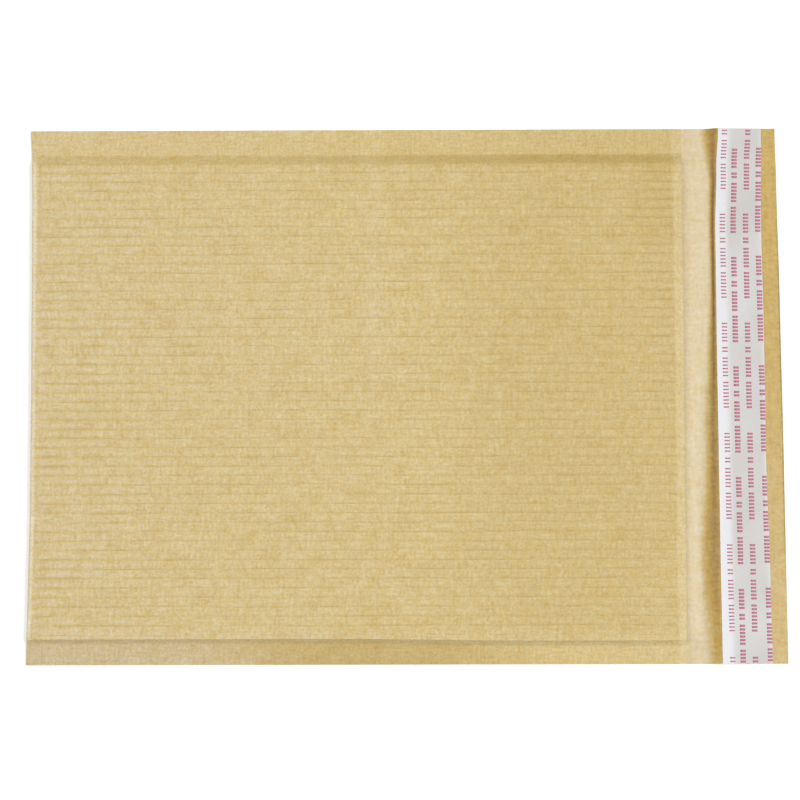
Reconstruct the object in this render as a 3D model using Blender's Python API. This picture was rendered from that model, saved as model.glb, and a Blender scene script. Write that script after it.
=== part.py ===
"""Kraft paper mailer with a fluted paper lining, lying flat with its flap open.

One kraft sheet is folded at the closed end (-X) and glued along both sides, and
its longer half carries the self-seal flap at the mouth end (+X). A fluted paper
lining is folded inside it. Units are metres, Z is up, and the back panel lies on Z = 0.
"""
import math

import bmesh
import bpy

# Overall plan of the sheet
MAILER_WIDTH = 0.230        # along Y, outside the side seams
POCKET_DEPTH = 0.279        # closed fold to the front panel's mouth edge
FLAP_REACH = 0.041          # mouth edge to the flap's free edge
NEAR_SEAM = 0.0102          # glued side seam at -Y
FAR_SEAM = 0.0108           # glued side seam at +Y
NEAR_SLOPE = 0.0015         # seam to padded face, where the lining lies against the seam
FAR_SLOPE = 0.0055          # seam to padded face, where the lining stops short
SEAM_HEIGHT = 0.0007        # glued faces of the side seams above the floor

# Papers and the room between them
KRAFT_THICKNESS = 0.00025
MEDIUM_THICKNESS = 0.00025
FLUTE_HEIGHT = 0.0015       # crest to trough, over the medium
FLUTE_PITCH = 0.00396
GLUE_GAP = 0.0003           # between papers that are glued to each other
POCKET_GAP = 0.0005         # between the two lined walls of the empty pocket
LINING_SETBACK = 0.0033     # lining's end to the mouth edge

# Print-through of the flutes on both outer faces
GROOVE_WIDTH = 0.0013
GROOVE_DEPTH = 0.0003
GROOVE_FADE = 0.0020        # length over which a groove runs out at each end

# Closed fold, seen from the side
FOLD_RADIUS = 0.0013
VALLEY_FROM_FOLD = 0.0034   # pressed line beside the fold
VALLEY_DROP = 0.0003        # valley below the top of the rounded fold
PAD_FROM_FOLD = 0.0070      # where the padded faces reach their full height
CRUSH_FROM_FOLD = 0.0044    # lining is pressed flat from the fold to here
CRUSH_LENGTH = 0.0038       # over which the flutes open to their full height

# Mouth and flap, seen from the side
PRESS_LENGTH = 0.0140       # end of the lining that is pressed thinner towards the mouth
PRESS_DEPTH = 0.0005        # by which each padded face draws in there
MOUTH_DROP = 0.0015         # front panel's edge below its padded face
MOUTH_LIFT = 0.0012         # back panel under the mouth edge, above the floor
LOW_HEIGHT = 0.0004         # underside of the sheet in the hollow before the flap
RAMP_LENGTH = 0.0050        # over which it curves up from there to the flap's ridge
RIDGE_FROM_MOUTH = 0.0142
RIDGE_HEIGHT = 0.0020       # underside of the ridge, where the flap is creased
FREE_EDGE_LIFT = 0.0003     # underside of the flap's free edge
CURVE_STEPS = 3             # facets in each rounded stretch

# Self-seal strip on the flap
LINER_FROM_RIDGE = 0.0006
LINER_WIDTH = 0.0200
LINER_THICKNESS = 0.00012
ADHESIVE_INSET = 0.0015     # liner's overhang over the adhesive on all sides
ADHESIVE_THICKNESS = 0.00015
STRIP_GAP = 0.0003          # under the adhesive, and between it and the liner

TOTAL_LENGTH = POCKET_DEPTH + FLAP_REACH
LINING_END = POCKET_DEPTH - LINING_SETBACK
RIDGE = POCKET_DEPTH + RIDGE_FROM_MOUTH
FLAP_TILT = math.atan((RIDGE_HEIGHT - FREE_EDGE_LIFT) / (TOTAL_LENGTH - RIDGE))

PAD_HALF_HEIGHT = POCKET_GAP / 2 + FLUTE_HEIGHT + GLUE_GAP + KRAFT_THICKNESS
PAD_PLANE = PAD_HALF_HEIGHT             # middle of the empty pocket, above the floor
CRUSHED_MIDDLE = POCKET_GAP / 2 + MEDIUM_THICKNESS / 2
FLUTE_MIDDLE = POCKET_GAP / 2 + FLUTE_HEIGHT / 2
FLUTE_SWING = (FLUTE_HEIGHT - MEDIUM_THICKNESS) / 2

NEAR_EDGE = -MAILER_WIDTH / 2
FAR_EDGE = MAILER_WIDTH / 2
SEAM_LINES = (NEAR_EDGE + NEAR_SEAM, FAR_EDGE - FAR_SEAM)
PAD_LINES = (SEAM_LINES[0] + NEAR_SLOPE, SEAM_LINES[1] - FAR_SLOPE)
LINING_LINES = (PAD_LINES[0] + GLUE_GAP, PAD_LINES[1] - GLUE_GAP)
LINING_WIDTH = LINING_LINES[1] - LINING_LINES[0]
FLUTE_COUNT = max(2, round(LINING_WIDTH / FLUTE_PITCH))
FLUTE_STEP = LINING_WIDTH / FLUTE_COUNT


def clear_scene():
    for old in list(bpy.data.objects):
        bpy.data.objects.remove(old, do_unlink=True)


def paper_material(name, colour, roughness):
    material = bpy.data.materials.new(name)
    material.use_nodes = True
    shader = material.node_tree.nodes["Principled BSDF"]
    shader.inputs["Base Color"].default_value = (*colour, 1.0)
    shader.inputs["Roughness"].default_value = roughness
    shader.inputs["Metallic"].default_value = 0.0
    material.diffuse_color = (*colour, 1.0)
    return material


def blend(start, end, share):
    return start + (end - start) * share


def padding(y):
    """How far the sheet stands over the lining: 0 on the seams, 1 on the padded face."""
    if y <= SEAM_LINES[0] or y >= SEAM_LINES[1]:
        return 0.0
    near = (y - SEAM_LINES[0]) / NEAR_SLOPE
    far = (SEAM_LINES[1] - y) / FAR_SLOPE
    return min(1.0, near, far)


def middle(y):
    """Height at which the sheet's halves meet: low on the seams, the pocket's middle between."""
    return blend(SEAM_HEIGHT, PAD_PLANE, padding(y))


def groove_lines():
    """Y of each groove in the outer faces, between the crests of neighbouring flutes."""
    return [LINING_LINES[0] + FLUTE_STEP * k for k in range(1, FLUTE_COUNT)]


def grooved_places(edges):
    """Y and depth share of every point across a grooved row."""
    width = min(GROOVE_WIDTH, 0.8 * FLUTE_STEP)
    places = [(y, 0.0) for y in edges]
    for line in groove_lines():
        places.append((line - width / 2, 0.0))
        places.append((line, 1.0))
        places.append((line + width / 2, 0.0))
    return sorted(places)


def plain_places(edges):
    return [(y, 0.0) for y in edges]


def add_row(bm, x, places, height):
    """Vertices across the mailer at one station, x from the closed fold."""
    return [bm.verts.new((x - TOTAL_LENGTH / 2, y, height(y, share))) for y, share in places]


def join_rows(bm, first, second):
    """Triangles between two rows of vertices that both run from -Y to +Y."""
    i = j = 0
    while i < len(first) - 1 or j < len(second) - 1:
        if j == len(second) - 1:
            step_first = True
        elif i == len(first) - 1:
            step_first = False
        else:
            ahead = (first[i + 1].co.y + first[i].co.y) - (second[j + 1].co.y + second[j].co.y)
            step_first = ahead < 0 or (ahead == 0 and i > 0)
        if step_first:
            corners = (first[i], first[i + 1], second[j])
            i += 1
        else:
            corners = (first[i], second[j + 1], second[j])
            j += 1
        if len(set(corners)) == 3:
            bm.faces.new(corners)


def join_chain(bm, rows):
    for first, second in zip(rows, rows[1:]):
        join_rows(bm, first, second)


def join_ends(bm, outer, inner, end):
    """Side wall between two chains with as many rows, at their first (0) or last (-1) vertices."""
    for k in range(len(outer) - 1):
        corners = [outer[k][end], outer[k + 1][end], inner[k + 1][end], inner[k][end]]
        distinct = list(dict.fromkeys(corners))
        if len(distinct) > 2:
            bm.faces.new(distinct)


def finish_object(name, bm, material):
    bmesh.ops.recalc_face_normals(bm, faces=bm.faces)
    mesh = bpy.data.meshes.new(name)
    bm.to_mesh(mesh)
    bm.free()
    mesh.materials.append(material)
    part = bpy.data.objects.new(name, mesh)
    bpy.context.collection.objects.link(part)
    return part


def sheet_stations(inset):
    """Stations (x, half height on the pad, grooved, depth) from the fold to the lining's end.

    The half height is measured from the middle. An inset of 0 gives the sheet's
    outer face, and an inset of its thickness gives the face towards the lining.
    """
    radius = FOLD_RADIUS - inset
    stations = []
    for k in range(1, CURVE_STEPS + 1):
        angle = math.pi / 2 * k / CURVE_STEPS
        stations.append((FOLD_RADIUS - radius * math.cos(angle), radius * math.sin(angle), False, 0.0))
    pad = PAD_HALF_HEIGHT - inset
    stations.append((VALLEY_FROM_FOLD, FOLD_RADIUS - VALLEY_DROP - inset, False, 0.0))
    stations.append((PAD_FROM_FOLD, pad, True, 0.0))
    stations.append((PAD_FROM_FOLD + GROOVE_FADE, pad, True, GROOVE_DEPTH))
    stations.append((LINING_END - PRESS_LENGTH, pad, True, GROOVE_DEPTH))
    faded = GROOVE_FADE / PRESS_LENGTH
    stations.append((LINING_END - GROOVE_FADE, pad - PRESS_DEPTH * (1 - faded), True, GROOVE_DEPTH))
    stations.append((LINING_END, pad - PRESS_DEPTH, True, 0.0))
    return stations


def sheet_rows(bm, side, inset, edges):
    """Rows of one face of the sheet; side is 1 for the front panel and -1 for the back."""
    rows = []
    seam_half = KRAFT_THICKNESS - inset
    for x, half, grooved, depth in sheet_stations(inset):
        places = grooved_places(edges) if grooved else plain_places(edges)

        def height(y, share, half=half, depth=depth):
            rise = blend(seam_half, half, padding(y))
            return middle(y) + side * (rise - depth * share)

        rows.append(add_row(bm, x, places, height))
    return rows


def mouth_row(bm, pad_height, seam_height, edges):
    def height(y, share):
        return blend(seam_height, pad_height, padding(y))

    return add_row(bm, POCKET_DEPTH, plain_places(edges), height)


def flap_stations():
    """Stations (x, height of the sheet's underside) from the hollow to the free edge."""
    stations = []
    for k in range(CURVE_STEPS + 1):
        share = k / CURVE_STEPS
        x = RIDGE - RAMP_LENGTH * (1 - share)
        stations.append((x, blend(LOW_HEIGHT, RIDGE_HEIGHT, share ** 2)))
    stations.append((TOTAL_LENGTH, FREE_EDGE_LIFT))
    return stations


def flap_rows(bm, thickness):
    edges = plain_places((NEAR_EDGE, FAR_EDGE))
    return [add_row(bm, x, edges, lambda y, share, z=z: z + thickness) for x, z in flap_stations()]


def build_kraft_sheet(material):
    """The folded outer sheet: back panel with flap, front panel, and both glued seams."""
    bm = bmesh.new()
    outer_edges = (NEAR_EDGE, SEAM_LINES[0], PAD_LINES[0], PAD_LINES[1], SEAM_LINES[1], FAR_EDGE)
    inner_edges = outer_edges[1:-1]
    mouth_top = PAD_PLANE + PAD_HALF_HEIGHT - MOUTH_DROP

    nose = add_row(bm, 0.0, plain_places(outer_edges), lambda y, share: middle(y))
    front_outer = [nose] + sheet_rows(bm, 1, 0.0, outer_edges)
    front_outer.append(mouth_row(bm, mouth_top, SEAM_HEIGHT + KRAFT_THICKNESS, outer_edges))
    back_outer = [nose] + sheet_rows(bm, -1, 0.0, outer_edges)
    back_outer.append(mouth_row(bm, MOUTH_LIFT, SEAM_HEIGHT - KRAFT_THICKNESS, outer_edges))
    flap_outer = flap_rows(bm, 0.0)

    inner_nose = add_row(bm, KRAFT_THICKNESS, plain_places(inner_edges), lambda y, share: middle(y))
    back_inner = [inner_nose] + sheet_rows(bm, -1, KRAFT_THICKNESS, inner_edges)
    back_mouth = mouth_row(bm, MOUTH_LIFT + KRAFT_THICKNESS, SEAM_HEIGHT, outer_edges)
    back_inner.append(back_mouth[1:-1])
    flap_inner = flap_rows(bm, KRAFT_THICKNESS)

    front_inner = [inner_nose] + sheet_rows(bm, 1, KRAFT_THICKNESS, inner_edges)
    front_inner.append(mouth_row(bm, mouth_top - KRAFT_THICKNESS, SEAM_HEIGHT, inner_edges))
    for front, back in zip(front_inner[1:], back_inner[1:]):
        for end in (0, -1):
            bm.verts.remove(front[end])
            front[end] = back[end]

    join_chain(bm, front_outer)
    join_chain(bm, back_outer + flap_outer)
    join_chain(bm, front_inner)
    join_chain(bm, back_inner)
    join_chain(bm, [back_mouth] + flap_inner)
    join_rows(bm, front_outer[-1], back_mouth[:1] + front_inner[-1] + back_mouth[-1:])
    join_rows(bm, flap_outer[-1], flap_inner[-1])
    for end in (0, -1):
        join_ends(bm, front_outer, back_outer, end)
        mouth_corners = (front_outer[-1][end], back_mouth[end], back_outer[-1][end])
        bm.faces.new(mouth_corners)
        join_ends(bm, [back_outer[-1]] + flap_outer, [back_mouth] + flap_inner, end)
    return finish_object("kraft_sheet", bm, material)


def wave_places():
    """Y and height share (-1 trough, 1 crest) across the flutes, four points to a flute."""
    places = [(LINING_LINES[0], -1.0)]
    for k in range(FLUTE_COUNT):
        start = LINING_LINES[0] + FLUTE_STEP * k
        for eighths, share in ((1, -1.0), (3, 1.0), (5, 1.0), (7, -1.0)):
            places.append((start + FLUTE_STEP * eighths / 8, share))
    places.append((LINING_LINES[1], -1.0))
    return places


def lining_stations(offset):
    """Stations (x, half height, swing, waved) of one wall, from its end to the fold.

    The offset is from the medium's middle, towards the kraft sheet.
    """
    turn = CRUSHED_MIDDLE + offset
    turn_centre = KRAFT_THICKNESS + GLUE_GAP + CRUSHED_MIDDLE + MEDIUM_THICKNESS / 2
    stations = [
        (LINING_END, FLUTE_MIDDLE - PRESS_DEPTH / 2 + offset, FLUTE_SWING - PRESS_DEPTH / 2, True),
        (LINING_END - PRESS_LENGTH, FLUTE_MIDDLE + offset, FLUTE_SWING, True),
        (CRUSH_FROM_FOLD + CRUSH_LENGTH, FLUTE_MIDDLE + offset, FLUTE_SWING, True),
        (CRUSH_FROM_FOLD, turn, 0.0, True),
    ]
    for k in range(CURVE_STEPS):
        angle = math.pi / 2 * k / CURVE_STEPS
        stations.append((turn_centre - turn * math.sin(angle), turn * math.cos(angle), 0.0, False))
    return stations, turn_centre - turn


def lining_chain(bm, offset):
    """Rows of one face of the lining, from the front wall's end round the fold to the back's."""
    stations, turn_x = lining_stations(offset)
    plain = [(LINING_LINES[0], 0.0), (LINING_LINES[1], 0.0)]

    def wall(side):
        rows = []
        for x, half, swing, waved in stations:
            places = wave_places() if waved else plain
            rows.append(add_row(
                bm, x, places,
                lambda y, share, half=half, swing=swing: PAD_PLANE + side * (half + swing * share)))
        return rows

    turn = add_row(bm, turn_x, plain, lambda y, share: PAD_PLANE)
    return wall(1) + [turn] + wall(-1)[::-1]


def build_fluted_lining(material):
    """One fluted sheet, pressed flat where it turns at the closed fold."""
    bm = bmesh.new()
    outer = lining_chain(bm, MEDIUM_THICKNESS / 2)
    inner = lining_chain(bm, -MEDIUM_THICKNESS / 2)
    join_chain(bm, outer)
    join_chain(bm, inner)
    for end in (0, -1):
        join_rows(bm, outer[end], inner[end])
        join_ends(bm, outer, inner, end)
    return finish_object("fluted_lining", bm, material)


def build_strip(name, width, length, thickness, lift, material):
    """A flat strip along Y, parallel to the tilted flap and lift above its inner face."""
    bm = bmesh.new()
    bmesh.ops.create_cube(bm, size=1.0)
    bmesh.ops.scale(bm, vec=(width, length, thickness), verts=bm.verts)
    strip = finish_object(name, bm, material)
    along = LINER_FROM_RIDGE + LINER_WIDTH / 2
    above = KRAFT_THICKNESS * math.cos(FLAP_TILT) + lift + thickness / 2
    x = RIDGE + along * math.cos(FLAP_TILT) + above * math.sin(FLAP_TILT)
    z = RIDGE_HEIGHT - along * math.sin(FLAP_TILT) + above * math.cos(FLAP_TILT)
    strip.location = (x - TOTAL_LENGTH / 2, 0.0, z)
    strip.rotation_euler = (0.0, FLAP_TILT, 0.0)
    return strip


def build_mailer():
    clear_scene()
    kraft = paper_material("kraft paper", (0.63, 0.49, 0.25), 0.78)
    medium = paper_material("fluting paper", (0.50, 0.37, 0.20), 0.85)
    adhesive = paper_material("adhesive", (0.80, 0.77, 0.66), 0.35)
    liner = paper_material("release liner", (0.80, 0.79, 0.80), 0.40)
    build_kraft_sheet(kraft)
    build_fluted_lining(medium)
    build_strip(
        "adhesive_strip", LINER_WIDTH - 2 * ADHESIVE_INSET, MAILER_WIDTH - 2 * ADHESIVE_INSET,
        ADHESIVE_THICKNESS, STRIP_GAP, adhesive)
    build_strip(
        "release_liner", LINER_WIDTH, MAILER_WIDTH, LINER_THICKNESS,
        2 * STRIP_GAP + ADHESIVE_THICKNESS, liner)


build_mailer()
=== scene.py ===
import math

import bmesh
import bpy
from mathutils import Euler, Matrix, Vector, noise


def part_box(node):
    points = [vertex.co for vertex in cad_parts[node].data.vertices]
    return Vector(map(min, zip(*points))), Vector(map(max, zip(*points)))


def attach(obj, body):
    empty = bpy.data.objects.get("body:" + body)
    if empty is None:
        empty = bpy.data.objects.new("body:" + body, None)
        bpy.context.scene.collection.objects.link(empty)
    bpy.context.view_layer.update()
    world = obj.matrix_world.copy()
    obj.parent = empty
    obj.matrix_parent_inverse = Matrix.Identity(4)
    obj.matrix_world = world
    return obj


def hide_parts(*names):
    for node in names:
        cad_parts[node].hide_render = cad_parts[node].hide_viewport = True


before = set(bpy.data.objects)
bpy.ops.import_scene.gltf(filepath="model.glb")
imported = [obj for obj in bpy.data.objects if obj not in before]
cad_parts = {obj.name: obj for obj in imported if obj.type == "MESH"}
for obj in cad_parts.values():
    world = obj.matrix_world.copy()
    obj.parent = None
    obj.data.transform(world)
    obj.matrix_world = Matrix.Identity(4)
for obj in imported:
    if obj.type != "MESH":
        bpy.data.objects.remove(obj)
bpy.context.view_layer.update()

sheetLow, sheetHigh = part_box("kraft_sheet")

length = sheetHigh.x - sheetLow.x
halfWidth = (sheetHigh.y - sheetLow.y) / 2
padPlane = (sheetLow.z + sheetHigh.z) / 2  # middle of the empty pocket
mm = 0.001

# outer sheet: folded at the left, glued along both sides, flap on the right
sheet = {
    "paper": 0.25 * mm,
    "nearSeam": 8.2 * mm,
    "farSeam": 10.6 * mm,
    "nearSlope": 2.5 * mm,
    "nearSteepness": 2.2,
    "farSlope": 6.0 * mm,
    "seamHeight": 0.80 * mm,  # glued faces above the floor, beside the pad
    "seamDroop": 0.30 * mm,  # outer edge of a seam below that
    "seamGlue": 0.02 * mm,  # half the gap between the glued papers
    "askewBy": 1.1 * mm,  # the near step runs slightly askew towards the mouth
    "askewFrom": 130 * mm,
    "askewLength": 90 * mm,
    "askewReach": 3.2 * mm,
    "foldRound": 1.5 * mm,  # length of the rounded closed end
    "foldHalf": 1.98 * mm,  # half its height, at the paper's middle
    "foldShiftReach": 0.12,  # share of the length over which the fold's draw-in fades
    "valleyAt": 2.9 * mm,
    "valleyWidth": 0.9 * mm,
    "valleyDrop": 0.35 * mm,  # only beside the far seam
    "padAt": 4.6 * mm,
    "longWave": 16 * mm,  # soft unevenness of the front
    "longWaveHeight": 0.10 * mm,
    "shortWave": 5 * mm,
    "shortWaveHeight": 0.05 * mm,
    "creaseAt": 147 * mm,  # faint raised line across the far half
    "creaseWidth": 0.7 * mm,
    "creaseHeight": 0.07 * mm,
    "liningEnd": 275.1 * mm,
    "pressLength": 14.0 * mm,  # end of the lining that is pressed thinner
    "pressDepth": 0.45 * mm,
    "stripDrop": 0.12 * mm,  # small step down where the pressed strip starts
    "stripDropLength": 1.5 * mm,
    "mouthAt": 278.9 * mm,
    "mouthDrop": 1.05 * mm,  # further draw-in of the front from the lining's end to the edge
    "mouthSlant": 0.6 * mm,  # the mouth edge reaches further on the far side
    "slantFrom": 0.7,  # shares of the length
    "slantLength": 0.17,
    "mouthLift": 1.25 * mm,
    "hollow": 0.50 * mm,  # middle of the paper before the ramp
    "rampEasing": 0.4,  # how much the ramp's slope eases off from its steepest to the ridge
    "ridge": 2.15 * mm,
    "freeEdge": 0.38 * mm,
    "flapSag": 0.8,  # below 1 the flap sinks faster near the ridge
    "flapRipple": 0.10 * mm,
    "rippleLength": 22 * mm,
    "cornerLift": 0.7 * mm,  # raised tip of the flap beside the far seam
    "sharpAngle": 40,
}

# print-through of the flutes on the outer faces
grooves = {
    "pitch": 3.963 * mm,
    "last": 95.5 * mm,  # groove nearest the far seam
    "count": 50,
    "halfWidth": 0.48 * mm,
    "depth": 0.10 * mm,
    "mouthDepth": 0.26 * mm,  # in the strip pressed before the mouth
    "mouthStripAt": 261.0 * mm,
    "mouthStripBlend": 2 * mm,
    "foldDepth": 0.26 * mm,
    "foldReach": 34 * mm,
    "fade": 2.5 * mm,
    "backDepth": 0.18 * mm,
    "mouthNearShare": 0.35,  # share of the mouth's depth that is left at the near side
    "backUneven": 0.5,  # how much each groove varies, and over what length
    "backUnevenLength": 30 * mm,
    "longUneven": 0.75,
    "longUnevenLength": 26 * mm,
    "shortUneven": 0.5,
    "shortUnevenLength": 9 * mm,
}


def inMillimetres(path):
    return [(place, value * mm) for place, value in path]


# each path goes across the mailer, from the near side at -1 to the far side at 1
# where the sheet starts to curve up before the flap, and the flap's ridge
rampPath = inMillimetres([(-1.0, 285.8), (-0.6, 284.6), (-0.15, 286.0), (0.15, 288.2),
                          (0.4, 290.1), (0.8, 290.3), (1.0, 287.2)])
ridgePath = inMillimetres([(-1.0, 292.9), (-0.6, 292.75), (0.1, 292.75), (0.6, 292.9),
                           (0.85, 293.9), (1.0, 294.9)])
# where the ramp between them is steepest, and how late it steepens
steepPath = [(-1.0, 0.90), (-0.6, 0.80), (-0.15, 0.78), (0.36, 0.82), (0.74, 0.78), (1.0, 0.80)]
bendPath = [(-1.0, 0.45), (-0.6, 0.60), (-0.15, 2.3), (0.36, 2.8), (0.74, 2.0), (1.0, 1.0)]
# the free edge, cut a little askew
edgePath = inMillimetres([(-1.0, 321.1), (-0.3, 321.0), (0.3, 320.7), (0.8, 320.2), (1.0, 319.9)])
# how far the closed fold draws in
foldPath = inMillimetres([(-1.0, 0.3), (-0.75, 0.75), (-0.45, 1.1), (-0.1, 0.85), (0.3, 0.45),
                          (0.7, -0.05), (0.86, -0.45), (1.0, -1.4)])


def clamp(value, low=0.0, high=1.0):
    return max(low, min(high, value))


def lerp(start, end, share):
    return start + (end - start) * share


def ease(share):
    share = clamp(share)
    return share * share * (3 - 2 * share)


def hump(distance, width):
    # 1 at its middle, falling off smoothly on both sides
    return math.exp(-(distance / width) ** 2)


def alongPath(path, place):
    # smooth curve through a short list of places
    for (startPlace, startValue), (endPlace, endValue) in zip(path, path[1:]):
        if place <= endPlace:
            return lerp(startValue, endValue, ease((place - startPlace) / (endPlace - startPlace)))
    return path[-1][1]


def atWidth(path, y):
    return alongPath(path, y / halfWidth)


def wander(x, y, scale, seed=0.0):
    return noise.noise(Vector((x / scale, y / scale, seed)))


nearLine = -halfWidth + sheet["nearSeam"]
farLine = halfWidth - sheet["farSeam"]
padHalf = padPlane - sheet["paper"] / 2
seamHalf = sheet["paper"] / 2 + sheet["seamGlue"]  # half the distance between the glued papers' middles


def padShare(y):
    # 0 on the glued seams, 1 over the lining
    near = clamp((y - nearLine) / sheet["nearSlope"])
    return min(near ** sheet["nearSteepness"], ease((farLine - y) / sheet["farSlope"]))


def middleHeight(y):
    # where the two halves of the sheet meet: low on the seams, the pocket's middle between them
    outside = max((nearLine - y) / sheet["nearSeam"], (y - farLine) / sheet["farSeam"], 0.0)
    return lerp(sheet["seamHeight"] - sheet["seamDroop"] * outside, padPlane, padShare(y))


def grooveAt(y):
    # share of the full depth: 1 in a groove, falling to 0 on the pillow beside it
    number = (grooves["last"] - y) / grooves["pitch"]
    nearest = clamp(round(number), 0, grooves["count"] - 1)
    return hump(abs(number - nearest) * grooves["pitch"], grooves["halfWidth"]), nearest


def mouthShift(along, y):
    start = sheet["slantFrom"] * length
    return sheet["mouthSlant"] * (y / halfWidth) * ease((along - start) / (sheet["slantLength"] * length))


def seamShift(along, y):
    beside = hump(y - nearLine - 1 * mm, sheet["askewReach"])
    return -sheet["askewBy"] * ease((along - sheet["askewFrom"]) / sheet["askewLength"]) * beside


def foldShift(along, y):
    return atWidth(foldPath, y) * (1 - ease(along / (sheet["foldShiftReach"] * length)))


def pressedShare(along):
    return ease((along - sheet["liningEnd"] + sheet["pressLength"]) / sheet["pressLength"])


def stripDrop(along):
    return sheet["stripDrop"] * ease((along - grooves["mouthStripAt"]) / sheet["stripDropLength"])


def stripShare(along):
    return ease((along - grooves["mouthStripAt"]) / grooves["mouthStripBlend"])


def creaseShare(along, y, width):
    return hump(along - sheet["creaseAt"], width) * ease(y / halfWidth * 3 + 0.5)


def faceHalf(along, y):
    # half the height of the padded body beyond the rounded fold, over the paper's middle
    start, end = sheet["foldRound"], sheet["padAt"]
    half = lerp(sheet["foldHalf"], padHalf, ease((along - start) / (end - start)))
    valley = hump(along - sheet["valleyAt"], sheet["valleyWidth"])
    return half - sheet["valleyDrop"] * valley * ease((y / halfWidth - 0.35) / 0.4)


def grooveStrength(along, y, row, isFront):
    ends = min(ease((along - sheet["padAt"] + 1.5 * mm) / grooves["fade"]),
               ease((sheet["liningEnd"] - along) / (0.4 * grooves["fade"])))
    if not isFront:
        uneven = 1 + grooves["backUneven"] * wander(along, row * 7.7 * mm, grooves["backUnevenLength"], 5.0)
        return grooves["backDepth"] * ends * uneven
    inStrip = stripShare(along)
    mouthShare = lerp(grooves["mouthNearShare"], 1.0, ease(y / halfWidth + 0.5))
    mouthDepth = grooves["mouthDepth"] * mouthShare
    strength = lerp(grooves["depth"], mouthDepth, inStrip)
    nearFold = (1 - ease(along / grooves["foldReach"])) * (0.55 - 0.45 * y / halfWidth)
    strength = lerp(strength, grooves["foldDepth"], clamp(nearFold * 1.4))
    uneven = 1 + grooves["longUneven"] * wander(along, row * 9.1 * mm, grooves["longUnevenLength"], 2.0)
    uneven += grooves["shortUneven"] * wander(along, row * 5.3 * mm, grooves["shortUnevenLength"], 8.0)
    return strength * ends * lerp(clamp(uneven, 0.25, 1.8), clamp(uneven, 0.8, 1.2), inStrip)


def frontSwell(along, y):
    # soft waves of the front panel, strongest at the near end of the fold, and the faint crease
    nearFold = (1 - ease(along / grooves["foldReach"])) * (0.5 - 0.5 * y / halfWidth)
    longWave = sheet["longWaveHeight"] * wander(along, y, sheet["longWave"], 3.0)
    shortWave = sheet["shortWaveHeight"] * wander(along, y, sheet["shortWave"], 4.0)
    crease = sheet["creaseHeight"] * creaseShare(along, y, sheet["creaseWidth"])
    return longWave * (0.4 + 1.8 * nearFold) + shortWave * (0.5 + 1.5 * nearFold) + crease


def bodyPoint(along, y, isFront):
    share = padShare(y)
    groove, row = grooveAt(y)
    depth = grooveStrength(along, y, row, isFront)
    half = lerp(seamHalf, faceHalf(along, y), share)
    half -= share * (depth * groove + sheet["pressDepth"] * pressedShare(along))
    past = ease((along - sheet["liningEnd"]) / (sheet["mouthAt"] - sheet["liningEnd"]))
    if isFront:
        half += share * (frontSwell(along, y) - stripDrop(along) - sheet["mouthDrop"] * past)
        height = middleHeight(y) + half
    else:
        half = min(half, padHalf) - share * (sheet["mouthLift"] - sheet["pressDepth"]) * past
        height = middleHeight(y) - half
    # the third value is how strongly the painted shade of the groove shows
    return along + mouthShift(along, y) + foldShift(along, y), height, groove * share * depth


def backPoint(along, y):
    return bodyPoint(along, y, False)


def frontPoint(along, y):
    return bodyPoint(along, y, True)


def foldPoint(turn, y):
    # turn runs from -1 on the back panel through 0 at the nose to 1 on the front panel
    share = padShare(y)
    angle = turn * math.pi / 2
    reach = lerp(seamHalf, sheet["foldHalf"], share)
    outset = lerp(seamHalf, sheet["foldRound"], share)
    along = sheet["paper"] / 2 + (outset - sheet["paper"] / 2) * (1 - math.cos(angle))
    return along + foldShift(0.0, y), middleHeight(y) + reach * math.sin(angle), 0.0


def hollowPoint(share, y):
    # back panel's inner face, from under the mouth edge down to the hollow before the ramp
    startX, startHeight = backPoint(sheet["mouthAt"], y)[:2]
    x = lerp(startX, atWidth(rampPath, y), share)
    return x, lerp(startHeight, sheet["hollow"], ease(share)), 0.0


def rampSlope(share, y):
    # slope of the ramp as a share of its steepest: rising to 1 there, then easing off
    steep, bend = atWidth(steepPath, y), atWidth(bendPath, y)
    if share < steep:
        return (share / steep) ** bend
    return 1 - sheet["rampEasing"] * (share - steep) / (1 - steep)


def rampPoint(share, y):
    # the height is the slope above, summed up from the hollow to the ridge
    steep, bend = atWidth(steepPath, y), atWidth(bendPath, y)
    upTo = min(share, steep)
    rise = upTo / (bend + 1) * (upTo / steep) ** bend
    past = max(share - steep, 0.0)
    easing = sheet["rampEasing"] / 2
    rise += past - easing * past * past / (1 - steep)
    whole = steep / (bend + 1) + (1 - easing) * (1 - steep)
    x = lerp(atWidth(rampPath, y), atWidth(ridgePath, y), share)
    return x, lerp(sheet["hollow"], sheet["ridge"], rise / whole), 0.0


def flapHeight(past, y):
    # middle of the paper, past the ridge by a distance
    share = past / (atWidth(edgePath, y) - atWidth(ridgePath, y))
    ripple = sheet["flapRipple"] * wander(past, y, sheet["rippleLength"], 9.0)
    ripple *= ease(past / (4 * mm)) * (1 - 0.7 * share)
    corner = sheet["cornerLift"] * ease((y / halfWidth - 0.965) / 0.035) * ease((share - 0.9) / 0.1)
    return lerp(sheet["ridge"], sheet["freeEdge"], clamp(share) ** sheet["flapSag"]) + ripple + corner


def flapPoint(share, y):
    ridge = atWidth(ridgePath, y)
    past = (atWidth(edgePath, y) - ridge) * share
    return ridge + past, flapHeight(past, y), 0.0


def spread(*stops):
    # even places from stop to stop, with the number of steps between two stops, without the last stop
    places = []
    for k in range(0, len(stops) - 2, 2):
        start, steps, end = stops[k:k + 3]
        places += [lerp(start, end, step / steps) for step in range(steps)]
    return places


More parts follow.
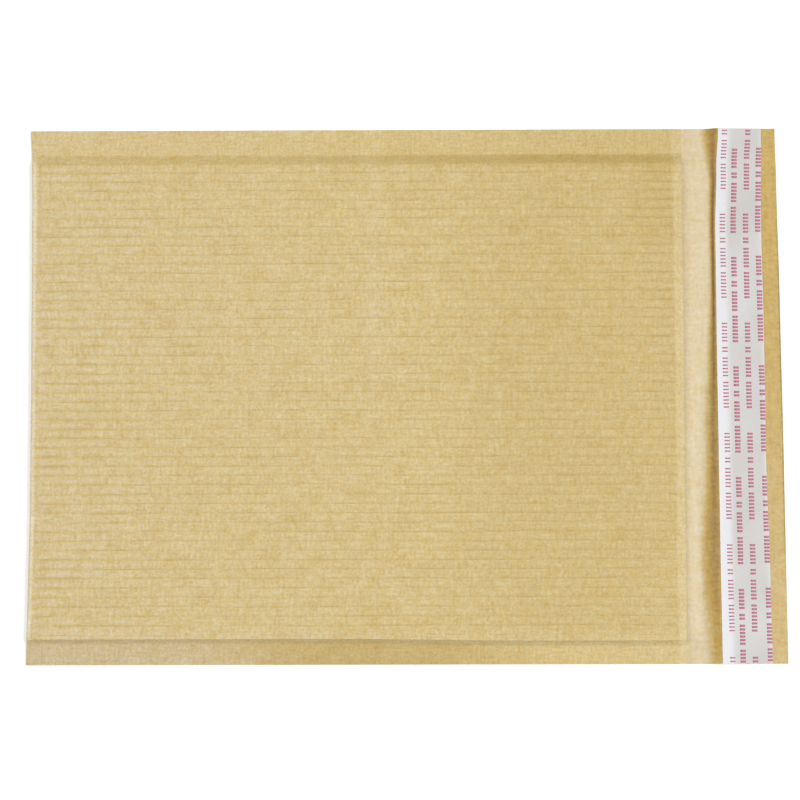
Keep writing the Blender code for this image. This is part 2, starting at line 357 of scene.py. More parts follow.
def sheetRows():
    # stations from the flap's free edge round the fold to the front panel's mouth edge
    end, pad, mouth, fold = (sheet[name] for name in ("liningEnd", "padAt", "mouthAt", "foldRound"))
    backPlaces = spread(mouth, 5, end - 3 * mm, 30, pad + 3 * mm, 8, fold)
    frontPlaces = spread(fold, 9, pad + 1 * mm, 16, 36 * mm, 36, 258 * mm, 8, end - 1.2 * mm, 6, mouth)
    rows = [(flapPoint, share) for share in [1.0, 0.984] + spread(0.97, 14, 0.1, 5, 0.0)]
    rows += [(rampPoint, share) for share in spread(1.0, 12, 0.5, 4, 0.0)]
    rows += [(hollowPoint, share) for share in spread(1.0, 6, 0.0)]
    rows += [(backPoint, along) for along in backPlaces]
    rows += [(foldPoint, turn) for turn in spread(-1.0, 16, 1.0)]
    rows += [(frontPoint, along) for along in frontPlaces + [mouth]]
    return rows


def sheetColumns():
    # places across the sheet: fine on the slopes, and five to each groove
    half = grooves["halfWidth"]
    slopeEnd = nearLine + sheet["nearSlope"]
    columns = spread(-halfWidth, 9, nearLine, 7, slopeEnd) + [slopeEnd]
    first = grooves["last"] - grooves["pitch"] * (grooves["count"] - 1)
    for k in range(grooves["count"]):
        y = first + grooves["pitch"] * k
        columns += [y + offset for offset in (-1.5 * mm, -half, 0.0, half, 1.5 * mm)]
    columns += [columns[-1] + 0.9 * mm]
    columns += spread(farLine - sheet["farSlope"], 10, farLine - 1 * mm, 4, farLine, 5, halfWidth)
    return sorted(columns + [halfWidth])


def gridMesh(rowCount, columnCount, place, layerNames=()):
    # a flat grid whose vertices are carried to their rows and columns, with values painted on them
    bm = bmesh.new()
    bmesh.ops.create_grid(bm, x_segments=rowCount - 1, y_segments=columnCount - 1, size=0.5)
    layers = [bm.verts.layers.float.new(name) for name in layerNames]
    for vert in bm.verts:
        row = round((vert.co.x + 0.5) * (rowCount - 1))
        column = round((vert.co.y + 0.5) * (columnCount - 1))
        vert.co, values = place(row, column)
        for layer, value in zip(layers, values):
            vert[layer] = value
    return bm


def makeObject(name, bm, materials):
    mesh = bpy.data.meshes.new(name)
    bm.to_mesh(mesh)
    bm.free()
    for material in materials:
        mesh.materials.append(material)
    made = bpy.data.objects.new(name, mesh)
    bpy.context.scene.collection.objects.link(made)
    return made


def finishPiece(name, bm, materials, nodes=()):
    piece = makeObject(name, bm, materials)
    piece.data.shade_smooth()
    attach(piece, "root")
    if nodes:
        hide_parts(*nodes)
    return piece


def thicken(piece, thickness, materialOffset=0):
    # gives the sheet its paper thickness and keeps the cut edges sharp
    solidify = piece.modifiers.new("paper", "SOLIDIFY")
    solidify.thickness = thickness
    solidify.offset = 0.0
    solidify.material_offset = materialOffset
    solidify.material_offset_rim = materialOffset
    evaluated = piece.evaluated_get(bpy.context.evaluated_depsgraph_get())
    solid = bpy.data.meshes.new_from_object(evaluated)
    piece.modifiers.clear()
    thin = piece.data
    piece.data = solid
    bpy.data.meshes.remove(thin)
    solid.name = piece.name
    solid.set_sharp_from_angle(angle=math.radians(sheet["sharpAngle"]))


def addNode(tree, kind, inputs=None, **settings):
    node = tree.nodes.new(kind)
    for name, value in settings.items():
        setattr(node, name, value)
    for name, value in (inputs or {}).items():
        node.inputs[name].default_value = value
    return node


def feed(tree, value, socket):
    # links another node's output, or sets a plain number or colour
    if isinstance(value, bpy.types.NodeSocket):
        tree.links.new(value, socket)
    elif isinstance(value, float):
        socket.default_value = value
    elif value is not None:
        socket.default_value = (*value, 1.0)


def calc(tree, operation, first, second=None, clampIt=False):
    node = addNode(tree, "ShaderNodeMath", operation=operation, use_clamp=clampIt)
    feed(tree, first, node.inputs[0])
    feed(tree, second, node.inputs[1])
    return node.outputs[0]


def multiply(tree, first, *others):
    for other in others:
        first = calc(tree, "MULTIPLY", first, other)
    return first


def aroundZero(tree, source, amount):
    return multiply(tree, calc(tree, "SUBTRACT", source, 0.5), amount)


def mixColour(tree, share, first, second, blendType="MIX"):
    node = addNode(tree, "ShaderNodeMix", data_type="RGBA", blend_type=blendType)
    feed(tree, share, node.inputs[0])
    feed(tree, first, node.inputs[6])
    feed(tree, second, node.inputs[7])
    return node.outputs[2]


def mapRange(tree, source, start, end, low, high, blend="LINEAR"):
    limits = {"From Min": start, "From Max": end, "To Min": low, "To Max": high}
    node = addNode(tree, "ShaderNodeMapRange", limits, interpolation_type=blend)
    tree.links.new(source, node.inputs["Value"])
    return node.outputs["Result"]


def painted(tree, name):
    # a value painted on the mesh
    return addNode(tree, "ShaderNodeAttribute", attribute_name=name).outputs["Fac"]


def objectCoords(tree):
    return addNode(tree, "ShaderNodeTexCoord").outputs["Object"]


def noiseOver(tree, coords, stretch, scale, detail, roughness=0.5):
    # noise over the object's coordinates; a stretch below 1 draws it out along that axis
    mapping = addNode(tree, "ShaderNodeMapping", {"Scale": stretch})
    tree.links.new(coords, mapping.inputs["Vector"])
    texture = addNode(tree, "ShaderNodeTexNoise", {"Detail": detail, "Roughness": roughness})
    tree.links.new(mapping.outputs["Vector"], texture.inputs["Vector"])
    feed(tree, scale, texture.inputs["Scale"])
    return texture.outputs["Fac"]


# what every paper shares; the scales are in waves to the metre
papers = {
    "blotchScale": 170.0,
    "fibreTints": ((0.85, 0.74, 0.43), (1.15, 1.29, 1.70)),  # brown and pale
    "hueTints": ((1.03, 0.985, 0.80), (0.97, 1.015, 1.20)),  # yellow and blue
    "bumpDepth": 0.2 * mm,
    "plainGrainScale": 800.0,
    "plainBlotch": 0.2,  # share of the grain
}


def paperFibreGroup():
    # grain, soft blotches and uneven hue of an unbleached paper, over object coordinates
    group = bpy.data.node_groups.new("paperFibre", "ShaderNodeTree")
    group.interface.new_socket("Vector", in_out="INPUT", socket_type="NodeSocketVector")
    group.interface.new_socket("Grain scale", in_out="INPUT", socket_type="NodeSocketFloat")
    for name in ("Grain", "Blotch", "Hue"):
        group.interface.new_socket(name, in_out="OUTPUT", socket_type="NodeSocketFloat")
    inside = addNode(group, "NodeGroupInput")
    outside = addNode(group, "NodeGroupOutput")
    vector, grainScale = inside.outputs["Vector"], inside.outputs["Grain scale"]
    fine = noiseOver(group, vector, (1.0, 1.0, 1.0), grainScale, 3.0, 0.65)
    across = noiseOver(group, vector, (0.22, 1.0, 1.0), grainScale, 2.0, 0.55)
    along = noiseOver(group, vector, (1.0, 0.22, 1.0), grainScale, 2.0, 0.55)
    strands = multiply(group, calc(group, "ADD", across, along), 0.25)
    grain = calc(group, "ADD", multiply(group, fine, 0.5), strands)
    blotch = noiseOver(group, vector, (0.7, 1.0, 1.0), papers["blotchScale"], 2.0, 0.55)
    hue = noiseOver(group, vector, (0.8, 1.1, 1.3), grainScale, 2.0, 0.6)
    for name, value in (("Grain", grain), ("Blotch", blotch), ("Hue", hue)):
        group.links.new(value, outside.inputs[name])
    return group


def newMaterial(name, roughness):
    material = bpy.data.materials.new(name)
    material.use_nodes = True
    shader = material.node_tree.nodes["Principled BSDF"]
    shader.inputs["Roughness"].default_value = roughness
    return material, shader


def paperShader(name, fibre, roughness, grainScale, bump):
    # gives back the place for its colour too
    material, shader = newMaterial(name, roughness)
    tree = material.node_tree
    texture = addNode(tree, "ShaderNodeGroup", {"Grain scale": grainScale}, node_tree=fibre)
    tree.links.new(objectCoords(tree), texture.inputs["Vector"])
    raised = addNode(tree, "ShaderNodeBump", {"Strength": bump, "Distance": papers["bumpDepth"]})
    tree.links.new(texture.outputs["Grain"], raised.inputs["Height"])
    tree.links.new(raised.outputs["Normal"], shader.inputs["Normal"])
    return material, tree, texture, shader.inputs["Base Color"]


def fibreColour(tree, texture, base, grainAmount, blotchAmount, tints=papers["fibreTints"]):
    # the base colour, tinted grain by grain between a brown and a pale fibre
    grain = aroundZero(tree, texture.outputs["Grain"], grainAmount)
    blotch = aroundZero(tree, texture.outputs["Blotch"], blotchAmount)
    level = calc(tree, "ADD", calc(tree, "ADD", grain, blotch), 0.5, clampIt=True)
    tint = mixColour(tree, level, *tints)
    hue = aroundZero(tree, texture.outputs["Hue"], grainAmount)
    shift = mixColour(tree, calc(tree, "ADD", hue, 0.5, clampIt=True), *papers["hueTints"])
    return mixColour(tree, 1.0, mixColour(tree, 1.0, base, tint, "MULTIPLY"), shift, "MULTIPLY")


def plainPaperMaterial(name, base, roughness, fibre, grainAmount, bump):
    scale = papers["plainGrainScale"]
    material, tree, texture, target = paperShader(name, fibre, roughness, scale, bump)
    source = addNode(tree, "ShaderNodeRGB")
    source.outputs[0].default_value = (*base, 1.0)
    blotch = papers["plainBlotch"] * grainAmount
    tree.links.new(fibreColour(tree, texture, source.outputs[0], grainAmount, blotch), target)
    return material


kraft = {
    "outer": (0.650, 0.492, 0.205),
    "outerLight": (0.672, 0.536, 0.300),
    "outerDark": (0.530, 0.373, 0.115),
    # pale colour of the painted sheen and highlights
    "paintedSheen": (0.835, 0.715, 0.455),
    # darker colour of the painted shade in the grooves
    "groove": (0.440, 0.310, 0.100),
    "paintedGrooveShade": 0.45,
    "dull": (0.604, 0.471, 0.256),  # near margin by the fold
    "line": (0.480, 0.305, 0.085),
    "lineShare": 0.36,  # how dark the painted shade of the thin lines along the flutes is
    "lineFades": (0.02, 0.09),  # from full to nothing, in shares of the pitch from its middle
    "lightLineShare": 0.12,
    "lightLineAt": 0.17,  # share of the pitch beside the dark line, where the painted highlight lies
    "lightLineFades": (0.03, 0.13),
    "lineDrift": 1.8 * mm,
    "lineDriftScale": 60.0,
    "streakScale": 260.0,
    "streaks": (0.36, 0.60, 0.15, 1.0),  # noise from and to, strength from and to
    "speckScale": 520.0,
    "specks": (0.34, 0.66, 0.1, 1.6),
    "inner": (0.690, 0.558, 0.325),
    "innerKraft": (0.533, 0.347, 0.080),
    # colour of the painted shade on the ramp before the flap
    "ramp": (0.300, 0.170, 0.048),
    "outerPaper": (0.62, 950.0, 0.35),  # roughness, grain scale, bump
    "innerPaper": (0.5, 700.0, 0.2),
    "outerGrain": 2.5,
    "innerGrain": 1.4,
    "blotch": 0.35,
    "rimLength": 1.9 * mm,  # length of the painted sheen on the nose of the fold
    "rimNearSlope": (0.12, 0.32),  # painted highlight on the near slope, at the fold and at the free edge
    "rimMouth": 0.20,
    "flapPaler": 0.3,
    # painted shadow along the free edge
    "freeEdgeShadow": 0.75,
    # painted shade under the mouth edge
    "hollowShade": 0.30,
    "mottle": 0.14,
    "mottleSize": 60 * mm,
    "stripesAtFold": 0.34,  # painted shade towards the grooves, painted highlight on the pillows
    "stripes": 0.07,
    "stripesFrom": 20 * mm,
    "stripesFade": 60 * mm,
    "stripesUneven": 1.2,
    "stripesUnevenSize": 20 * mm,
    # painted shade in the grooves of the strip before the mouth
    "mouthGrooveShade": 0.20,
    "crease": 0.30,
    "creaseWidth": 0.9 * mm,
    "bandWidth": 7.2 * mm,  # painted shade: a dark band on the slope beside the far seam
    "bandEdge": 0.9 * mm,
    "bandHalfway": 4.4 * mm,  # half as dark from here on
    "bandAtFold": 0.38,
    "bandAtMouth": 0.65,
    "farCorner": 0.25,
    "nearStepHighlight": 0.6,  # painted highlight: a light line on top of the near step
    "nearEdgeWidth": 0.8 * mm,
}
# paint of the outer face from the closed end to the mouth: painted shade of the near margin and its
# dullness, whole face
nearMarginTone = [(0.0, 0.0), (0.15, 0.0), (0.45, -0.95), (0.6, -0.80), (0.85, 0.05), (1.0, 0.15)]
nearMarginDull = [(0.0, 1.0), (0.2, 0.9), (0.45, 0.15), (0.6, 0.10), (0.85, 0.0), (1.0, 0.0)]
lengthTone = [(0.0, 0.40), (0.35, 0.15), (0.6, -0.05), (0.8, -0.36), (1.0, -0.34)]
# how dark the painted shade on the ramp before the flap is, across the mailer
rampShadePath = [(-1.0, 0.05), (-0.6, 0.68), (-0.15, 0.80), (0.36, 0.96), (0.74, 1.0), (1.0, 0.80)]


def fluteLines(tree, coords):
    # painted shade as a thin dark line along each flute and a painted highlight as a faint light one beside
    # it, a little wavy
    place = addNode(tree, "ShaderNodeSeparateXYZ")
    tree.links.new(coords, place.inputs["Vector"])
    drift = noiseOver(tree, coords, (0.3, 1.0, 1.0), kraft["lineDriftScale"], 1.0)
    drifted = calc(tree, "ADD", place.outputs["Y"], aroundZero(tree, drift, kraft["lineDrift"]))
    across = calc(tree, "SUBTRACT", grooves["last"], drifted)
    phase = calc(tree, "ADD", calc(tree, "DIVIDE", across, grooves["pitch"]), 0.5)
    offset = calc(tree, "SUBTRACT", calc(tree, "FRACT", phase), 0.5)
    aside = calc(tree, "ABSOLUTE", calc(tree, "SUBTRACT", offset, kraft["lightLineAt"]))
    distance = calc(tree, "ABSOLUTE", offset)
    dark = mapRange(tree, distance, *kraft["lineFades"], 1.0, 0.0, "SMOOTHSTEP")
    return dark, mapRange(tree, aside, *kraft["lightLineFades"], 1.0, 0.0, "SMOOTHSTEP")


def kraftOuterMaterial(fibre):
    material, tree, texture, target = paperShader("kraft outer face", fibre, *kraft["outerPaper"])
    coords = objectCoords(tree)
    tone = painted(tree, "tone")
    lighter = mixColour(tree, calc(tree, "MAXIMUM", tone, 0.0), kraft["outer"], kraft["outerLight"])
    darkness = calc(tree, "MAXIMUM", multiply(tree, tone, -1.0), 0.0)
    toned = mixColour(tree, darkness, lighter, kraft["outerDark"])
    base = mixColour(tree, painted(tree, "dull"), toned, kraft["dull"])
    # painted sheen and highlights on the fold's nose, the near slope and the mouth edge
    base = mixColour(tree, painted(tree, "paintedSheen"), base, kraft["paintedSheen"])
    colour = fibreColour(tree, texture, base, kraft["outerGrain"], kraft["blotch"])
    streak = noiseOver(tree, coords, (0.25, 1.0, 1.0), kraft["streakScale"], 2.0)
    broken = mapRange(tree, streak, *kraft["streaks"])
    speck = noiseOver(tree, coords, (0.5, 1.0, 1.0), kraft["speckScale"], 2.0)
    dotted = mapRange(tree, speck, *kraft["specks"])
    fluted = multiply(tree, painted(tree, "fluted"), broken, dotted)
    # painted shade along the flutes and a painted highlight beside each line
    dark, light = fluteLines(tree, coords)
    colour = mixColour(tree, multiply(tree, dark, fluted, kraft["lineShare"]), colour, kraft["line"])
    highlightShare = multiply(tree, light, fluted, kraft["lightLineShare"])
    colour = mixColour(tree, highlightShare, colour, kraft["paintedSheen"])
    # painted shade in the grooves
    paintedGrooveShade = multiply(tree, painted(tree, "groove"), broken, kraft["paintedGrooveShade"])
    tree.links.new(mixColour(tree, paintedGrooveShade, colour, kraft["groove"]), target)
    return material


def kraftInnerMaterial(fibre):
    material, tree, texture, target = paperShader("kraft inner face", fibre, *kraft["innerPaper"])
    tone = painted(tree, "innerTone")
    # painted shade on the ramp
    rampShadeShare = calc(tree, "SUBTRACT", tone, 1.0, clampIt=True)
    face = mixColour(tree, tone, kraft["inner"], kraft["innerKraft"])
    grain = calc(tree, "ADD", multiply(tree, tone, kraft["innerGrain"]), kraft["innerGrain"])
    base = mixColour(tree, rampShadeShare, face, kraft["ramp"])
    tree.links.new(fibreColour(tree, texture, base, grain, kraft["blotch"]), target)
    return material


def outerTone(along, y):
    # tone of the outer face, below 0 darker, above 0 lighter: random mottle, lighter towards the closed end
    # and darker towards the mouth, painted shade in the grooves and painted highlight on the pillows,
    # lighter along the faint crease, painted shade on the slope beside the far seam, darker on the far side
    # by the mouth, and on the near side a painted shade on the margin and a painted highlight on top of the
    # step
    share = padShare(y)
    place = along / sheet["mouthAt"]
    tone = kraft["mottle"] * wander(along, y, kraft["mottleSize"], 11.0) + alongPath(lengthTone, place)
    # painted shade towards the grooves and painted highlight on the pillows
    phase = (grooves["last"] - y) / grooves["pitch"]
    fromFold = ease((along - kraft["stripesFrom"]) / kraft["stripesFade"])
    stripes = lerp(kraft["stripesAtFold"], kraft["stripes"], fromFold)
    uneven = 1 + kraft["stripesUneven"] * wander(along, y, kraft["stripesUnevenSize"], 15.0)
    tone -= share * stripes * uneven * math.cos(2 * math.pi * (phase - 0.05))
    # painted shade in the grooves of the strip before the mouth
    inStrip = stripShare(along) * ease(y / halfWidth * 1.5 + 0.2)
    tone -= kraft["mouthGrooveShade"] * inStrip * share * (grooveAt(y)[0] - 0.25)
    tone += kraft["crease"] * creaseShare(along, y, kraft["creaseWidth"])
    if y > 0:
        # painted shade on the slope beside the far seam
        inward = farLine - y
        band = ease(inward / kraft["bandEdge"]) * ease((kraft["bandWidth"] - inward) / kraft["bandEdge"])
        band *= lerp(1.0, 0.5, ease((inward - kraft["bandHalfway"]) / (1.2 * mm)))
        tone -= lerp(kraft["bandAtFold"], kraft["bandAtMouth"], ease((place - 0.45) / 0.4)) * band
        tone -= kraft["farCorner"] * ease((place - 0.9) / 0.05) * ease((y / halfWidth - 0.35) / 0.3) * share
    else:
        # painted highlight on top of the near step
        width = kraft["nearEdgeWidth"]
        edge = hump(y - nearLine - sheet["nearSlope"] - width, width)
        # painted shade along the near margin
        tone = lerp(alongPath(nearMarginTone, place), tone + kraft["nearStepHighlight"] * edge, share)
    return clamp(tone, -1.0, 1.0)


def paintedSheenShare(along, y):
    # painted sheen and highlights, pale: on the nose of the fold, on the near slope and at the mouth edge
    share = padShare(y)
    paintedSheen = ease(1.45 - (along - foldShift(0.0, y)) / kraft["rimLength"]) * share
    if y < 0:
        paintedSheen += lerp(*kraft["rimNearSlope"], along / length) * math.sin(math.pi * share)
    atMouth = ease((along - sheet["liningEnd"] + 0.5 * mm) / (1.2 * mm))
    return paintedSheen + (kraft["rimMouth"] - 0.04 * y / halfWidth) * atMouth


def innerPaint(shape, station, along, y):
    # 0 is the plain inner face, 1 the browner flap, 2 the painted shade of the ramp
    if shape is rampPoint:
        return lerp(ease(1.1 * station), 2.0, atWidth(rampShadePath, y) * rampSlope(station, y))
    # painted shade under the mouth edge, browner towards it
    if shape is hollowPoint:
        return kraft["hollowShade"] * (1 - station) ** 2
    if shape is not flapPoint:
        return 0.0
    past = along - atWidth(ridgePath, y)
    tone = 1 - kraft["flapPaler"] * ease(past / (10 * mm)) * ease(0.35 - 0.65 * y / halfWidth)
    if station > 0.98:
        # painted shadow: a dark line along the middle of the free edge
        tone += kraft["freeEdgeShadow"] * ease((0.75 - abs(y) / halfWidth) / 0.3)
    return tone


def buildKraftSheet(fibre):
    rows, columns = sheetRows(), sheetColumns()

    def place(row, column):
        y = columns[column]
        shape, station = rows[row]
        along, height, groove = shape(station, y)
        onBody = shape in (backPoint, frontPoint)
        tone = outerTone(along, y) if onBody or shape is foldPoint else 0.0
        dull = fluted = shift = 0.0
        if y < 0:
            dull = alongPath(nearMarginDull, along / sheet["mouthAt"]) * (1 - padShare(y))
        if onBody:
            fluted = padShare(y) ** 3 * ease((along - 4 * mm) / (3 * mm))
            fluted *= ease((sheet["liningEnd"] - along) / (1 * mm))
            shift = seamShift(along, y)
        # the first value is the share of painted shade in the grooves
        paint = [groove / grooves["mouthDepth"], tone, paintedSheenShare(along, y)]
        paint += [innerPaint(shape, station, along, y), fluted, dull]
        return (sheetLow.x + along, y + shift, height), paint

    layers = ("groove", "tone", "paintedSheen", "innerTone", "fluted", "dull")
    bm = gridMesh(len(rows), len(columns), place, layers)
    materials = [kraftOuterMaterial(fibre), kraftInnerMaterial(fibre)]
    thicken(finishPiece("kraftSheet", bm, materials, ["kraft_sheet"]), sheet["paper"], 1)
    print("kraft sheet", len(rows), "rows", len(columns), "columns")


# fluted paper glued inside, folded flat at the closed end
lining = {
    "paper": 0.20 * mm,
    "glueGap": 0.03 * mm,
    "pocketGap": 0.5 * mm,
    "turnAt": 1.1 * mm,
    "crushedTo": 4.4 * mm,
    "openBy": 9.0 * mm,
    "colour": (0.500, 0.370, 0.190),
    "roughness": 0.8,
    "grain": 1.5,
    "bump": 0.4,
    "stepsPerFlute": 10,
}


def liningPoint(along, side, phase, y):
    crest = padHalf - sheet["paper"] / 2 - lining["glueGap"] - lining["paper"] / 2
    trough = lining["pocketGap"] / 2 + lining["paper"] / 2
    opened = ease((along - lining["crushedTo"]) / (lining["openBy"] - lining["crushedTo"]))
    middle = lerp(trough, (crest + trough) / 2, opened)
    swing = (crest - trough) / 2 * opened
    half = middle + (swing - stripDrop(along)) * -math.cos(2 * math.pi * phase)
    pressed = trough + (half - trough) * (1 - sheet["pressDepth"] / (crest - trough))
    half = lerp(half, pressed, pressedShare(along))
    return along + mouthShift(along, y) + foldShift(along, y), padPlane + side * half


def buildLining(fibre):
    turnRadius = lining["pocketGap"] / 2 + lining["paper"] / 2
    end, turnAt = sheet["liningEnd"], lining["turnAt"]
    stations = spread(end, 4, end - sheet["pressLength"], 4, 12 * mm, 9, turnAt)
    steps = lining["stepsPerFlute"]
    first = grooves["last"] + grooves["pitch"]
    count = grooves["count"] + 1
    rows = [(along, 1) for along in stations]
    rows += [(turn, 0) for turn in spread(1.0, 8, -1.0)] + [(-1.0, 0)]
    rows += [(along, -1) for along in reversed(stations)]

    def place(row, column):
        y = first - grooves["pitch"] * column / steps
        station, side = rows[row]
        if side:
            along, height = liningPoint(station, side, column / steps, y)
        else:
            angle = station * math.pi / 2
            along = turnAt - turnRadius * math.cos(angle) + foldShift(0.0, y)
            height = padPlane + turnRadius * math.sin(angle)
        return (sheetLow.x + along, y, height), ()

    bm = gridMesh(len(rows), count * steps + 1, place)
    look = (lining["colour"], lining["roughness"], fibre, lining["grain"], lining["bump"])
    medium = plainPaperMaterial("fluting paper", *look)
    thicken(finishPiece("flutedLining", bm, [medium], ["fluted_lining"]), lining["paper"])
    print("fluted lining", count, "flutes")


# self-seal strip on the flap: adhesive film and its liner
strip = {
    "linerFromRidge": 0.4 * mm,
    "linerPaper": 0.08 * mm,
    "adhesiveInset": 1.5 * mm,
    "adhesiveThickness": 0.12 * mm,
    "gap": 0.01 * mm,
    "columns": 140,
    "linerRows": 24,
    "adhesiveRows": 8,
    "linerColour": (0.715, 0.705, 0.725),
    "linerWarm": (0.545, 0.525, 0.495),  # over the adhesive
    "linerTints": ((0.97, 0.97, 0.97), (1.03, 1.03, 1.03)),
    "linerLook": (0.38, 600.0, 0.08),  # roughness, grain scale, bump
    "linerGrain": 1.0,
    "linerBlotch": 0.6,
    "warmFrom": 3.5 * mm,
    "warmBlend": 3 * mm,
    "adhesiveColour": (0.780, 0.740, 0.600),
    "adhesiveRoughness": 0.25,
    "adhesiveGrain": 0.1,
    "adhesiveBump": 0.1,
}
# outer edge of the liner across the mailer, which wasn't laid quite straight
linerEdgePath = inMillimetres([(-1.0, 314.5), (-0.7, 314.2), (-0.25, 313.4), (0.2, 313.5),
                               (0.65, 313.2), (1.0, 313.9)])


def stripPoint(across, y, lift):
    # across runs over the strip from its ridge side, lift is above the flap's inner face
    past = strip["linerFromRidge"] + across
    step = 0.1 * mm
    slope = (flapHeight(past + step, y) - flapHeight(past - step, y)) / (2 * step)
    above = sheet["paper"] / 2 + lift
    lean = math.atan(slope)
    x = atWidth(ridgePath, y) + past - above * math.sin(lean)
    return sheetLow.x + x, y, flapHeight(past, y) + above * math.cos(lean)


def linerWidth(y):
    return atWidth(linerEdgePath, y) - atWidth(ridgePath, y) - strip["linerFromRidge"]


def linerMaterial(fibre):
    material, tree, texture, target = paperShader("release liner", fibre, *strip["linerLook"])
    warm = painted(tree, "overAdhesive")
    base = mixColour(tree, warm, strip["linerColour"], strip["linerWarm"])
    amounts = (strip["linerGrain"], strip["linerBlotch"])
    tree.links.new(fibreColour(tree, texture, base, *amounts, strip["linerTints"]), target)
    return material


def buildStrip(fibre):
    inset, columns = strip["adhesiveInset"], strip["columns"]
    adhesiveRows, linerRows = strip["adhesiveRows"], strip["linerRows"]

    def adhesivePlace(row, column):
        y = lerp(-halfWidth + inset, halfWidth - inset, column / columns)
        across = lerp(inset, linerWidth(y) - inset, row / adhesiveRows)
        return stripPoint(across, y, strip["gap"] + strip["adhesiveThickness"] / 2), ()

    def linerPlace(row, column):
        y = lerp(-halfWidth, halfWidth, column / columns)
        width = linerWidth(y)
        across = width * row / linerRows
        lift = 2 * strip["gap"] + strip["adhesiveThickness"] + strip["linerPaper"] / 2
        warm = ease((across - strip["warmFrom"]) / strip["warmBlend"])
        warm *= ease((width + 1.5 * mm - across) / (3.5 * mm))
        warm *= clamp(0.85 + 0.4 * wander(across, y, 18 * mm, 14.0))
        return stripPoint(across, y, lift), (warm,)

    look = (strip["adhesiveRoughness"], fibre, strip["adhesiveGrain"], strip["adhesiveBump"])
    film = plainPaperMaterial("adhesive", strip["adhesiveColour"], *look)
    bm = gridMesh(adhesiveRows + 1, columns + 1, adhesivePlace)
    adhesive = finishPiece("adhesiveStrip", bm, [film], ["adhesive_strip"])
    thicken(adhesive, strip["adhesiveThickness"])
    bm = gridMesh(linerRows + 1, columns + 1, linerPlace, ("overAdhesive",))
    liner = finishPiece("releaseLiner", bm, [linerMaterial(fibre)], ["release_liner"])
    thicken(liner, strip["linerPaper"])
    print("self-seal strip")


# plain red marks in place of the liner's print: rows of small bars, in the rhythm of words
printRows = {
    # each row's place across the liner, at the far and at the near side of the mailer
    "places": [(2.9 * mm, 4.3 * mm), (7.6 * mm, 8.7 * mm), (13.0 * mm, 13.9 * mm), (18.0 * mm, 20.3 * mm)],
    "barWidths": [0.58 * mm, 0.95 * mm, 0.85 * mm, 0.90 * mm],
    "starts": [77.1 * mm, 105.5 * mm, 77.1 * mm, 106.1 * mm],  # far end of one group of words in each row
    "groups": range(-2, 6),
    "repeat": 47.4 * mm,
    "words": [6, 2, 6, 8],  # bars in each word of a group
    "barStep": 1.50 * mm,
    "barLength": 2.3 * mm,
    "shortestBar": 0.4 * mm,
    "raise": 0.02 * mm,
    "sink": 0.01 * mm,
    "margin": 0.8 * mm,  # to the side edges
    "edgeGap": 0.05 * mm,  # to the liner's outer edge
    "colour": (0.550, 0.180, 0.265),
    "roughness": 0.5,
}


def addBar(bm, across, y, barWidth):
    # one thin raised bar that follows the liner
    lift = 2 * strip["gap"] + strip["adhesiveThickness"] + strip["linerPaper"]
    end = min(across + printRows["barLength"] / 2, linerWidth(y) - printRows["edgeGap"])
    start = across - printRows["barLength"] / 2
    if end - start < printRows["shortestBar"]:
        return
    for vert in bmesh.ops.create_cube(bm, size=1.0)["verts"]:
        place = lerp(start, end, vert.co.x + 0.5)
        height = lift + (printRows["raise"] if vert.co.z > 0 else -printRows["sink"])
        vert.co = stripPoint(place, y + vert.co.y * barWidth, height)


def buildPrint():
    bm = bmesh.new()
    limit = halfWidth - printRows["margin"]
    rows = zip(printRows["places"], printRows["starts"], printRows["barWidths"])
    for (farPlace, nearPlace), start, barWidth in rows:
        for group in printRows["groups"]:
            y = start - group * printRows["repeat"]
            for bars in printRows["words"]:
                for k in range(bars):
                    if abs(y) < limit:
                        addBar(bm, lerp(nearPlace, farPlace, 0.5 + 0.5 * y / halfWidth), y, barWidth)
                    y -= printRows["barStep"]
                y -= printRows["barStep"]
    ink, shader = newMaterial("red print", printRows["roughness"])
    shader.inputs["Base Color"].default_value = (*printRows["colour"], 1.0)
    finishPiece("linerPrint", bm, [ink])
    print("print marks")


# plain pale stage, soft light from the right
stage = {
    "floorColour": (0.86, 0.86, 0.86),
    "floorRoughness": 0.9,
    "floorGlow": 0.36,
    "floorHalf": 3.0,
    "floorGap": 0.1 * mm,
    "worldStrength": 0.50,
    "key": (80.0, 1.3, (1.95, 0.15, 3.39)),  # power, size, place
    "fill": (10.0, 1.5, (-2.60, 0.0, 2.00)),
    "lens": 118.64,
    "sensor": 36.0,
    "cameraPlace": (0.0063, -0.1511, 1.1148),
    "cameraTurn": (7.585, 0.439, -0.102),
}


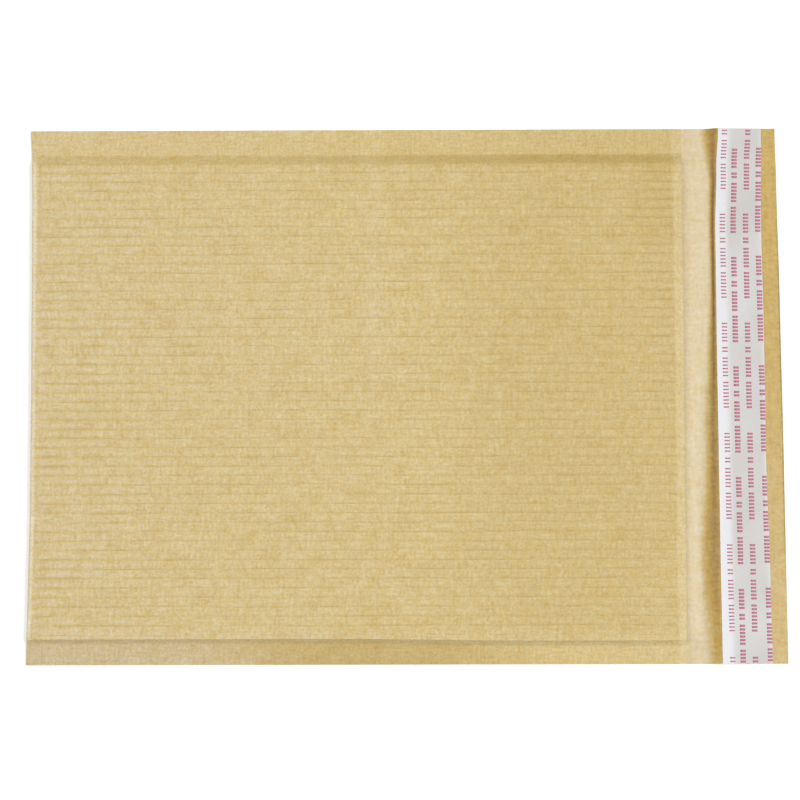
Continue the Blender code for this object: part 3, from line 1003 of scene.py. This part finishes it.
def seenItself(tree):
    # 1 where the camera sees it straight or in a gloss, 0 for the light that it gives
    rays = addNode(tree, "ShaderNodeLightPath")
    return calc(tree, "MAXIMUM", rays.outputs["Is Camera Ray"], rays.outputs["Is Glossy Ray"])


def buildFloor():
    bm = bmesh.new()
    bmesh.ops.create_grid(bm, x_segments=1, y_segments=1, size=stage["floorHalf"])
    material, shader = newMaterial("pale floor", stage["floorRoughness"])
    tree = material.node_tree
    shader.inputs["Base Color"].default_value = (*stage["floorColour"], 1.0)
    shader.inputs["Specular IOR Level"].default_value = 0.0
    shader.inputs["Emission Strength"].default_value = 1.0
    glow = multiply(tree, seenItself(tree), stage["floorGlow"])
    tree.links.new(glow, shader.inputs["Emission Color"])
    floor = makeObject("floor", bm, [material])
    floor.location.z = sheetLow.z - stage["floorGap"]


def addLight(name):
    light = bpy.data.lights.new(name, "AREA")
    light.energy, light.size, place = stage[name]
    lamp = bpy.data.objects.new(name, light)
    lamp.location = place
    lamp.rotation_euler = (-Vector(place)).to_track_quat("-Z", "Y").to_euler()
    bpy.context.scene.collection.objects.link(lamp)


def buildLights():
    addLight("key")
    addLight("fill")
    world = bpy.data.worlds.new("studio")
    world.use_nodes = True
    tree = world.node_tree
    background = tree.nodes["Background"]
    strength = addNode(tree, "ShaderNodeMix", {"A": stage["worldStrength"], "B": 1.0})
    tree.links.new(seenItself(tree), strength.inputs["Factor"])
    tree.links.new(strength.outputs["Result"], background.inputs["Strength"])
    background.inputs["Color"].default_value = (1.0, 1.0, 1.0, 1.0)
    bpy.context.scene.world = world


def studio():
    scene = bpy.context.scene
    scene.view_settings.view_transform = "Standard"
    camera = bpy.data.objects.new("camera", bpy.data.cameras.new("camera"))
    camera.data.sensor_width = stage["sensor"]
    camera.data.lens = stage["lens"]
    camera.location = stage["cameraPlace"]
    camera.rotation_euler = Euler([math.radians(angle) for angle in stage["cameraTurn"]])
    scene.collection.objects.link(camera)
    scene.camera = camera
    print("stage and camera")


studio()
fibre = paperFibreGroup()
buildKraftSheet(fibre)
buildLining(fibre)
buildStrip(fibre)
buildPrint()
buildFloor()
buildLights()
